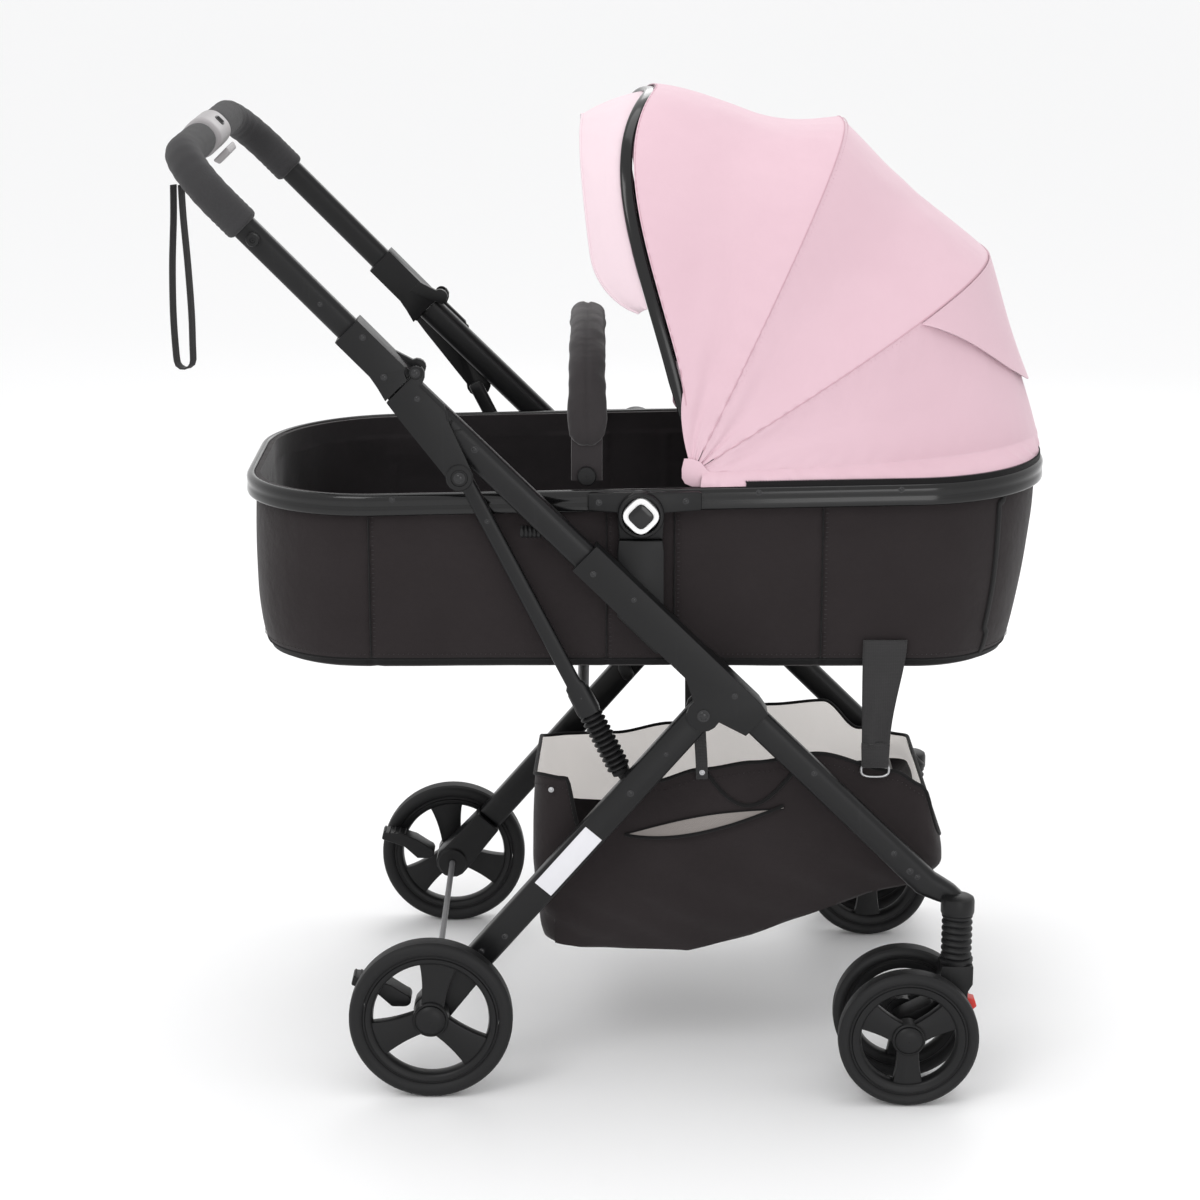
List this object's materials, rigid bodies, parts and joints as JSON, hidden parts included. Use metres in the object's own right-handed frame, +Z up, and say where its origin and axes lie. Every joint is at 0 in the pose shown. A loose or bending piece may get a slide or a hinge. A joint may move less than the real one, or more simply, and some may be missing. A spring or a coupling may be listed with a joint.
{
  "type": "baby stroller",
  "caption": "Folding baby stroller: black tube frame, swivelling twin castors, carrycot with a pink fan hood, lift arch, storage basket and looped handlebar.",
  "frame": {"origin": "centre of the footprint of the whole stroller, on the ground", "axes": "+X the way the stroller is pushed, +Y to its left, +Z up; the XZ plane is the plane of symmetry"},
  "size_m": [0.937, 0.605, 1.0639],
  "materials": {
    "frame_black": "satin black powder coat on aluminium tube",
    "plastic_black": "fine-grained black nylon moulding",
    "gloss_black": "smooth gloss black",
    "foam": "matt charcoal foam sleeve",
    "grey_plastic": "light grey moulding",
    "steel": "plain steel rod",
    "tyre": "matt black solid foam-rubber tyre",
    "rubber": "ribbed black rubber bellows",
    "red_plastic": "red tab",
    "black_fabric": "warm black woven polyester",
    "lining": "light grey-beige coated lining",
    "pink_fabric": "dusty pink woven polyester",
    "pale_pink_fabric": "pale pink woven polyester",
    "white_ring": "white ring button"
  },
  "bodies": {
    "chassis": {"main_tube_r": "frame_black", "fold_bracket_r": "plastic_black", "leg_connector_r": "plastic_black", "cot_adapter_r": "plastic_black", "front_gaiter_r": "rubber", "main_tube_l": "frame_black", "fold_bracket_l": "plastic_black", "leg_connector_l": "plastic_black", "cot_adapter_l": "plastic_black", "front_gaiter_l": "rubber", "front_cross_tube": "frame_black", "basket": "black_fabric"},
    "handle": {"handlebar_tube": "frame_black", "grip_r": "foam", "grip_l": "foam", "handle_sleeve_r": "plastic_black", "handle_sleeve_l": "plastic_black", "release_housing": "grey_plastic", "cup_holder_peg": "plastic_black", "wrist_strap": "black_fabric"},
    "trigger": {"release_trigger": "grey_plastic"},
    "rear_frame": {"rear_leg_r": "frame_black", "rear_leg_l": "frame_black", "brake_housing_r": "plastic_black", "brake_housing_l": "plastic_black", "rear_axle": "steel"},
    "struts": {"strut_frame": "frame_black", "strut_gaiter_r": "rubber", "strut_gaiter_l": "rubber"},
    "strut_rods": {"strut_foot_r": "plastic_black", "strut_foot_l": "plastic_black"},
    "cot": {"cot_rim": "gloss_black", "cot_shell": "black_fabric", "mattress": "black_fabric", "hood_panel_rear": "pink_fabric"},
    "carry_arch": {"carry_handle": "black_fabric"},
    "hood_rear": {"hood_bow_rear": "frame_black", "hood_panel_middle": "pink_fabric"},
    "hood_middle": {"hood_bow_middle": "frame_black", "hood_panel_front": "pink_fabric"},
    "hood_front": {"hood_bow_front": "gloss_black", "sun_visor": "pale_pink_fabric"},
    "brake_lever_r": {"brake_pedal_r": "plastic_black"},
    "rear_wheel_set_r": {"rear_wheel_r": "plastic_black", "rear_tyre_r": "tyre"},
    "castor_stem_r": {"front_post_r": "steel"},
    "castor_r": {"castor_fork_r": "plastic_black"},
    "lock_tab_r": {"swivel_lock_r": "red_plastic"},
    "button_r": {"release_button_r": "white_ring"},
    "castor_wheel_r_outer": {"front_wheel_r_outer": "tyre"},
    "castor_wheel_r_inner": {"front_wheel_r_inner": "tyre"},
    "brake_lever_l": {"brake_pedal_l": "plastic_black"},
    "rear_wheel_set_l": {"rear_wheel_l": "plastic_black", "rear_tyre_l": "tyre"},
    "castor_stem_l": {"front_post_l": "steel"},
    "castor_l": {"castor_fork_l": "plastic_black"},
    "lock_tab_l": {"swivel_lock_l": "red_plastic"},
    "button_l": {"release_button_l": "white_ring"},
    "castor_wheel_l_outer": {"front_wheel_l_outer": "tyre"},
    "castor_wheel_l_inner": {"front_wheel_l_inner": "tyre"}
  },
  "joints": [
    {"name": "handle_fold", "type": "hinge", "parent": "chassis", "child": "handle", "pos_m": [-0.2062, 0, 0.7977], "axis": [0, 1, 0], "range_deg": [0, 160]},
    {"name": "trigger_squeeze", "type": "slide", "parent": "handle", "child": "trigger", "axis": [-0.7009, 0, 0.7133], "range_m": [0, 0.004], "stiffness_N_per_m": 400, "springref_m": -0.004},
    {"name": "rear_leg_fold", "type": "hinge", "parent": "chassis", "child": "rear_frame", "pos_m": [0.0926, 0, 0.4285], "axis": [0, -1, 0], "range_deg": [0, 43]},
    {"name": "strut_swing", "type": "hinge", "parent": "chassis", "child": "struts", "pos_m": [-0.1627, 0, 0.687], "axis": [0, -1, 0], "range_deg": [0, 8]},
    {"name": "strut_slide", "type": "slide", "parent": "struts", "child": "strut_rods", "axis": [0.4515, 0, -0.8923], "range_m": [0, 0.068], "deforming": ["strut_gaiter_r", "strut_gaiter_l"]},
    {"name": "cot_lift_off", "type": "slide", "parent": "chassis", "child": "cot", "axis": [0.866, 0, 0.5], "range_m": [0, 0.925]},
    {"name": "carry_handle_swing", "type": "hinge", "parent": "cot", "child": "carry_arch", "pos_m": [-0.031, 0, 0.674], "axis": [0, 1, 0], "range_deg": [-80, 0]},
    {"name": "hood_rear_fold", "type": "hinge", "parent": "cot", "child": "hood_rear", "pos_m": [0.0805, 0, 0.681], "axis": [0, 1, 0], "range_deg": [0, 26], "deforming": ["hood_panel_rear"]},
    {"name": "hood_middle_fold", "type": "hinge", "parent": "hood_rear", "child": "hood_middle", "pos_m": [0.0805, 0, 0.681], "axis": [0, 1, 0], "range_deg": [0, 23.5], "deforming": ["hood_panel_middle"]},
    {"name": "hood_front_fold", "type": "hinge", "parent": "hood_middle", "child": "hood_front", "pos_m": [0.0805, 0, 0.681], "axis": [0, 1, 0], "range_deg": [0, 23.5], "deforming": ["hood_panel_front"]},
    {"name": "brake_pedal_press_r", "type": "hinge", "parent": "rear_frame", "child": "brake_lever_r", "pos_m": [-0.23, 0, 0.101], "axis": [0, -1, 0], "range_deg": [0, 16]},
    {"name": "rear_wheel_spin_r", "type": "hinge", "parent": "rear_frame", "child": "rear_wheel_set_r", "pos_m": [-0.2005, 0, 0.089], "axis": [0, 1, 0], "continuous": true},
    {"name": "suspension_r", "type": "slide", "parent": "chassis", "child": "castor_stem_r", "axis": [0, 0, 1], "range_m": [0, 0.01], "stiffness_N_per_m": 5000, "springref_m": -0.012, "deforming": ["front_gaiter_r"]},
    {"name": "castor_swivel_r", "type": "hinge", "parent": "castor_stem_r", "child": "castor_r", "pos_m": [0.369, -0.252, 0.15], "axis": [0, 0, 1], "continuous": true},
    {"name": "swivel_lock_slide_r", "type": "slide", "parent": "castor_r", "child": "lock_tab_r", "axis": [0, 0, -1], "range_m": [0, 0.005]},
    {"name": "button_press_r", "type": "slide", "parent": "cot", "child": "button_r", "axis": [0, 1, 0], "range_m": [0, 0.004], "stiffness_N_per_m": 500, "springref_m": -0.004},
    {"name": "castor_wheel_spin_r_outer", "type": "hinge", "parent": "castor_r", "child": "castor_wheel_r_outer", "pos_m": [0.3156, 0, 0.076], "axis": [0, 1, 0], "continuous": true},
    {"name": "castor_wheel_spin_r_inner", "type": "hinge", "parent": "castor_r", "child": "castor_wheel_r_inner", "pos_m": [0.3156, 0, 0.076], "axis": [0, 1, 0], "continuous": true},
    {"name": "brake_pedal_press_l", "type": "hinge", "parent": "rear_frame", "child": "brake_lever_l", "pos_m": [-0.23, 0, 0.101], "axis": [0, -1, 0], "range_deg": [0, 16]},
    {"name": "rear_wheel_spin_l", "type": "hinge", "parent": "rear_frame", "child": "rear_wheel_set_l", "pos_m": [-0.2005, 0, 0.089], "axis": [0, 1, 0], "continuous": true},
    {"name": "suspension_l", "type": "slide", "parent": "chassis", "child": "castor_stem_l", "axis": [0, 0, 1], "range_m": [0, 0.01], "stiffness_N_per_m": 5000, "springref_m": -0.012, "deforming": ["front_gaiter_l"]},
    {"name": "castor_swivel_l", "type": "hinge", "parent": "castor_stem_l", "child": "castor_l", "pos_m": [0.369, 0.252, 0.15], "axis": [0, 0, 1], "continuous": true},
    {"name": "swivel_lock_slide_l", "type": "slide", "parent": "castor_l", "child": "lock_tab_l", "axis": [0, 0, -1], "range_m": [0, 0.005]},
    {"name": "button_press_l", "type": "slide", "parent": "cot", "child": "button_l", "axis": [0, -1, 0], "range_m": [0, 0.004], "stiffness_N_per_m": 500, "springref_m": -0.004},
    {"name": "castor_wheel_spin_l_outer", "type": "hinge", "parent": "castor_l", "child": "castor_wheel_l_outer", "pos_m": [0.3156, 0, 0.076], "axis": [0, 1, 0], "continuous": true},
    {"name": "castor_wheel_spin_l_inner", "type": "hinge", "parent": "castor_l", "child": "castor_wheel_l_inner", "pos_m": [0.3156, 0, 0.076], "axis": [0, 1, 0], "continuous": true}
  ],
  "couplings": [
    {"joint": "rear_leg_fold", "follows": "handle_fold", "ratio": 0.2625},
    {"joint": "strut_swing", "follows": "handle_fold", "ratio": 0.04375},
    {"joint": "strut_slide", "follows": "handle_fold", "m_per_rad": 0.02363},
    {"joint": "cot_lift_off", "follows": "handle_fold", "m_per_rad": 0.32945},
    {"joint": "hood_middle_fold", "follows": "hood_rear_fold", "ratio": 0.88462},
    {"joint": "hood_front_fold", "follows": "hood_rear_fold", "ratio": 0.88462}
  ]
}
